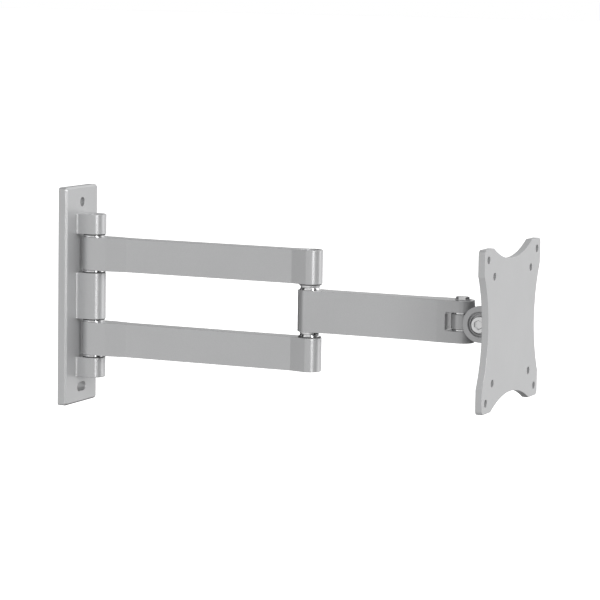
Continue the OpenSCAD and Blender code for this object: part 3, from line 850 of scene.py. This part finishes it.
screen_plan = []
for quarter in range(4):
    hollow = arc((screen_half - screen_hollow + hollow_radius, 0), hollow_radius,
                 180 + hollow_turn, 180 - hollow_turn, 48)
    corner = arc((screen_half - screen_corner, screen_half - screen_corner), screen_corner, 0, 90, 10)
    screen_plan += turned(hollow + corner, quarter)
screen_plate = prism("screen_plate_casting", screen_plan, screen_back, screen_high.x, TO_X)
round_edges(screen_plate, 0.25)
ear_r = 13.1
ear_in = block_half + ring_t
ear_t = 3.8
ear_out = ear_in + ear_t
tilt_recess = 1.8
recess_floor = ear_out - tilt_recess
tilt_hole_r = 3.15
ear_sweep = 2
ear_root = screen_back + 1
sweep_x = screen_back + 0.2 - ear_sweep
ear_plan = ([(ear_root, -ear_r - ear_sweep)]
            + arc((sweep_x, -ear_r - ear_sweep), ear_sweep, 0, 90, 6)
            + arc((tilt_x, 0), ear_r, 270, 90, 64)
            + arc((sweep_x, ear_r + ear_sweep), ear_sweep, 270, 360, 6)
            + [(ear_root, ear_r + ear_sweep)])
for side in (1, -1):
    low, high = sorted((side * ear_in, side * ear_out))
    ear = prism("ear", ear_plan, low, high, TO_Y)
    round_edges(ear, 0.5, angle=70)
    combine(screen_plate, ear, "UNION")
    drill(screen_plate, tilt_hole_r, low, high, tilt_line)
    counterbore(screen_plate, 9.1, side * recess_floor, side * ear_out, tilt_line, bevel=0.15)
screen_hole_r = 2.7
for spacing in (100, 75):
    for sy in (-1, 1):
        for sz in (-1, 1):
            drill(screen_plate, screen_hole_r, screen_back, screen_high.x,
                  at(0, sy * spacing / 2, sz * spacing / 2) @ TO_X, bevel=0.12)
complete(screen_plate, "screen_head", plate_paint, "plate_silver", "screen_plate")


# ---- Tilt bolt, nut, washers and rings ----
# A low cap bolt clamps the ears on the block through large grooved washers in their
# recesses, with a nut on the far side, and black nylon rings rub on the block's ends.
tilt_washer_t = 1.4
tilt_seat = recess_floor + tilt_washer_t
tilt_nut_h = 5
nut_end = -tilt_seat - tilt_nut_h
tilt_r = 3
tilt_tip = 0.5
tilt_head_r = 5.9
tilt_head_h = 3.3
rim = 1.1
cap_top = tilt_seat + tilt_head_h
tilt_bolt = lathe("tilt_cap_bolt", [(0, nut_end), (tilt_r - tilt_tip, nut_end),
                                    (tilt_r, nut_end + tilt_tip), (tilt_r, tilt_seat),
                                    (tilt_head_r - 0.15, tilt_seat), (tilt_head_r, tilt_seat + 0.15)]
                  + arc((tilt_head_r - rim, cap_top - rim), rim, 0, 90, 8) + [(0, cap_top)], tilt_line)
tilt_socket = [(hexagon(5.5), cap_top - 2), (hexagon(5.5), cap_top - 0.4), (hexagon(6.6), cap_top + 0.2)]
combine(tilt_bolt, loft("socket", tilt_socket, tilt_line), "DIFFERENCE")
complete(tilt_bolt, "screen_head", chrome_plate, "bolt_steel", "tilt_bolt")
complete(hex_nut("tilt_hex_nut", 10, nut_end, -tilt_seat, tilt_r + thread_gap, tilt_line),
         "screen_head", bolt_steel, "bolt_steel", "tilt_nut")
tilt_washer_r = 8.5
tilt_ring_r = 7.8
groove_depth = 1
for label, side in (("near", 1), ("far", -1)):
    back, face = side * recess_floor, side * tilt_seat
    groove = face - side * groove_depth
    profile = [(tilt_hole_r, back), (tilt_washer_r - 0.4, back), (tilt_washer_r, back + side * 0.4),
               (tilt_washer_r, face - side * 0.6), (tilt_washer_r - 0.3, face - side * 0.4),
               (tilt_washer_r - 0.7, face - side * 0.35), (7.5, face), (7.2, face), (6.9, groove),
               (5.7, groove), (5.3, face), (tilt_hole_r, face)]
    disc = lathe("tilt_washer_" + label, profile, tilt_line)
    complete(disc, "screen_head", zinc_plate, "bright_plate", "tilt_washers")
    low, high = sorted((side * block_half, side * ear_in))
    complete(lathe("tilt_ring_" + label, [(tilt_hole_r, low), (tilt_ring_r, low), (tilt_ring_r, high),
                                          (tilt_hole_r, high)], tilt_line),
             "swivel_head", dark_nylon, "dark_nylon", "tilt_friction_rings")


# ---- Bushes ----
# Plain sleeves in natural nylon, pressed into the barrels, in which the bolts turn. They
# are hidden while the mount is together.
natural_nylon = moulded_nylon("natural_nylon", (0.72, 0.69, 0.60), 0.42)
for node in ("wall_bushes", "elbow_bush", "swivel_bush", "tilt_bush"):
    sleeve = frame["nodes"][node]
    sleeve.data.materials.clear()
    sleeve.data.materials.append(natural_nylon)
